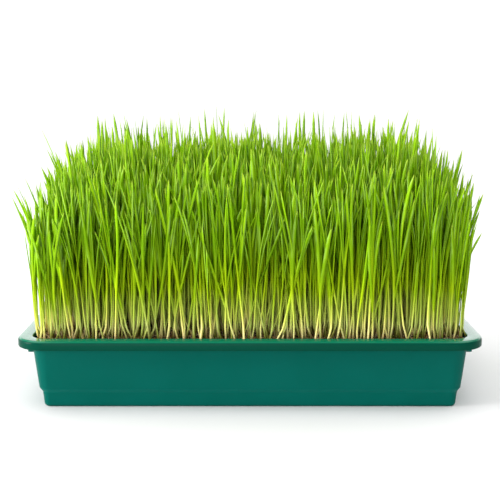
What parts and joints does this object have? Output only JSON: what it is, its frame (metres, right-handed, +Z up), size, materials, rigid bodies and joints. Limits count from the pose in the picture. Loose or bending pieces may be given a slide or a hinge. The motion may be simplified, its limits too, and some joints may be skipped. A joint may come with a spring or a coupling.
{
  "type": "wheatgrass tray",
  "caption": "Low rectangular seed tray of moulded plastic, filled with potting soil and a dense upright sward of young wheatgrass.",
  "frame": {"origin": "centre of the tray's footprint, on the surface that the tray stands on", "axes": "+X along the tray's long side, +Y across it towards the back, +Z up"},
  "size_m": [0.3933, 0.2499, 0.2419],
  "materials": {
    "tray_plastic": "glossy moulded teal-green plastic",
    "potting_soil": "damp crumbly potting compost with seed husks",
    "wheatgrass": "fresh green blades, pale cream at the foot, slightly translucent"
  },
  "bodies": {
    "root": {"seed_tray": "tray_plastic", "potting_soil": "potting_soil", "grass_clump_r1_c1": "wheatgrass", "grass_clump_r1_c2": "wheatgrass", "grass_clump_r1_c3": "wheatgrass", "grass_clump_r1_c4": "wheatgrass", "grass_clump_r1_c5": "wheatgrass", "grass_clump_r1_c6": "wheatgrass", "grass_clump_r1_c7": "wheatgrass", "grass_clump_r1_c8": "wheatgrass", "grass_clump_r2_c1": "wheatgrass", "grass_clump_r2_c2": "wheatgrass", "grass_clump_r2_c3": "wheatgrass", "grass_clump_r2_c4": "wheatgrass", "grass_clump_r2_c5": "wheatgrass", "grass_clump_r2_c6": "wheatgrass", "grass_clump_r2_c7": "wheatgrass", "grass_clump_r2_c8": "wheatgrass", "grass_clump_r3_c1": "wheatgrass", "grass_clump_r3_c2": "wheatgrass", "grass_clump_r3_c3": "wheatgrass", "grass_clump_r3_c4": "wheatgrass", "grass_clump_r3_c5": "wheatgrass", "grass_clump_r3_c6": "wheatgrass", "grass_clump_r3_c7": "wheatgrass", "grass_clump_r3_c8": "wheatgrass", "grass_clump_r4_c1": "wheatgrass", "grass_clump_r4_c2": "wheatgrass", "grass_clump_r4_c3": "wheatgrass", "grass_clump_r4_c4": "wheatgrass", "grass_clump_r4_c5": "wheatgrass", "grass_clump_r4_c6": "wheatgrass", "grass_clump_r4_c7": "wheatgrass", "grass_clump_r4_c8": "wheatgrass", "grass_clump_r5_c1": "wheatgrass", "grass_clump_r5_c2": "wheatgrass", "grass_clump_r5_c3": "wheatgrass", "grass_clump_r5_c4": "wheatgrass", "grass_clump_r5_c5": "wheatgrass", "grass_clump_r5_c6": "wheatgrass", "grass_clump_r5_c7": "wheatgrass", "grass_clump_r5_c8": "wheatgrass"}
  },
  "joints": []
}
